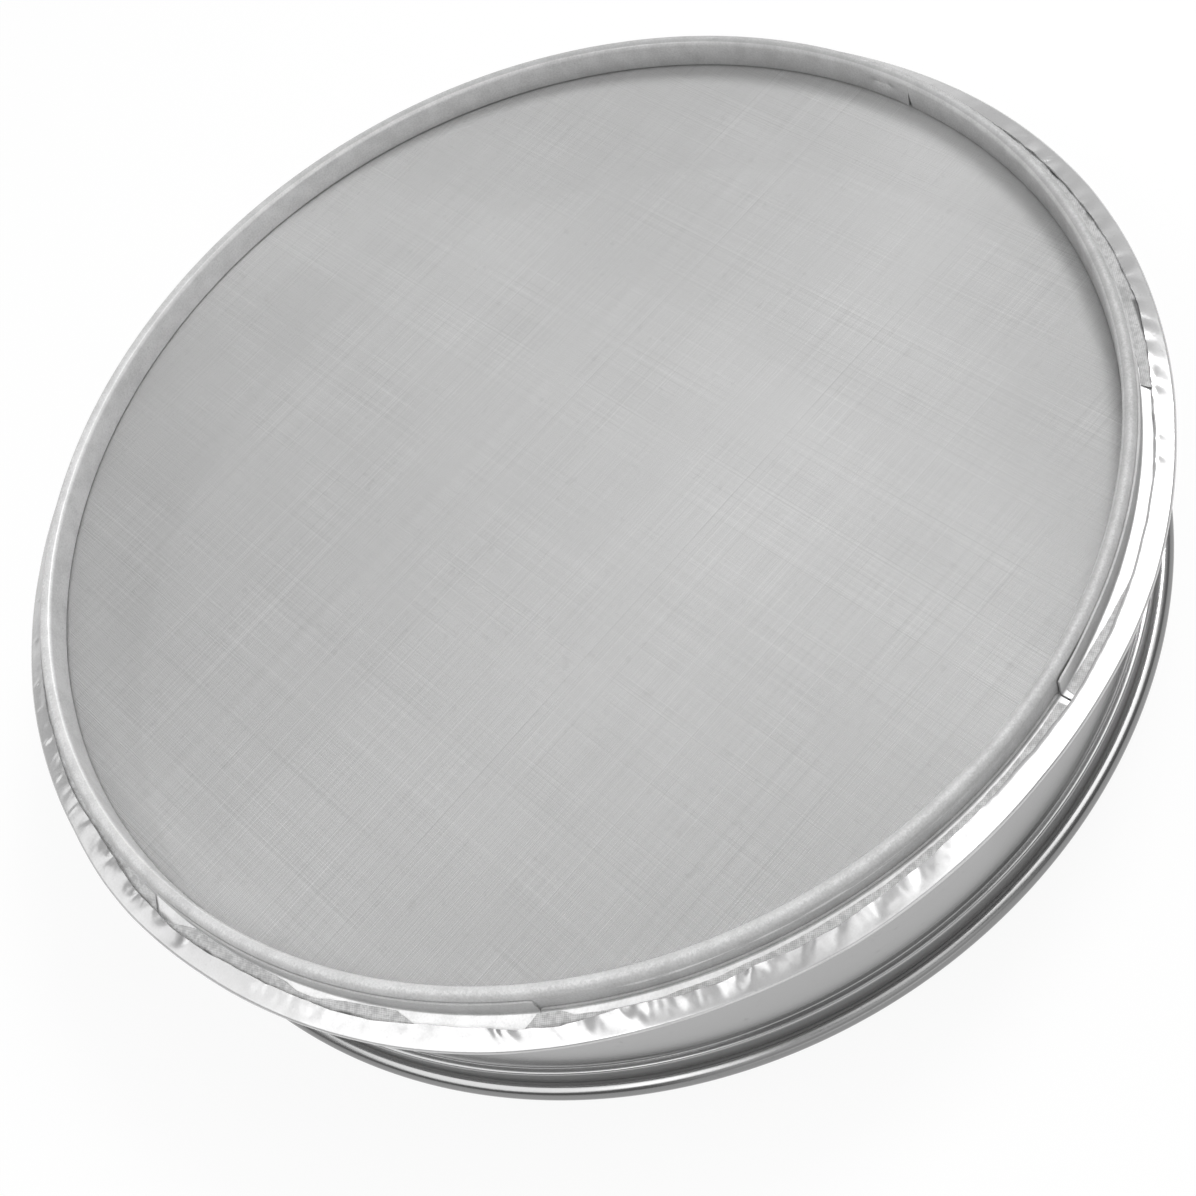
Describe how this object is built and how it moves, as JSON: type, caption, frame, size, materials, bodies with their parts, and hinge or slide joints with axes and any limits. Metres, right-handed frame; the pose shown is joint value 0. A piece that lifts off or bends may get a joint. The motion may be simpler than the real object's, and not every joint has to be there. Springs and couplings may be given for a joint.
{
  "type": "soil sieve",
  "caption": "Round hand sieve for soil: a stainless drum with a rolled rim, fine wire cloth crimped under its folded lip, and a skirt ring that nests in the rim of the next sieve or pan.",
  "frame": {"origin": "centre of the rim's lower face, on the surface that the sieve stands on", "axes": "+Z along the drum's axis from the rolled rim to the skirt, +X and +Y along the cloth's two sets of wires. The sieve is stored as pictured, turned over on its rim with the cloth up; in use +Z points down."},
  "size_m": [0.3128, 0.3128, 0.0605],
  "materials": {
    "drum_sheet": "satin stainless sheet, crimped and puckered at the lip",
    "rim_wire": "plain drawn wire, hidden in the rolled rim",
    "wire_cloth": "fine plain-weave stainless wire cloth",
    "skirt_strip": "galvanised strip with a faint spangle and scuffs",
    "foot_strip": "bright galvanised strip"
  },
  "bodies": {
    "root": {"drum_shell": "drum_sheet", "rim_wire": "rim_wire", "sieve_cloth": "wire_cloth", "skirt_ring": "skirt_strip", "foot_strip_long": "foot_strip", "foot_strip_short": "foot_strip"}
  },
  "joints": []
}
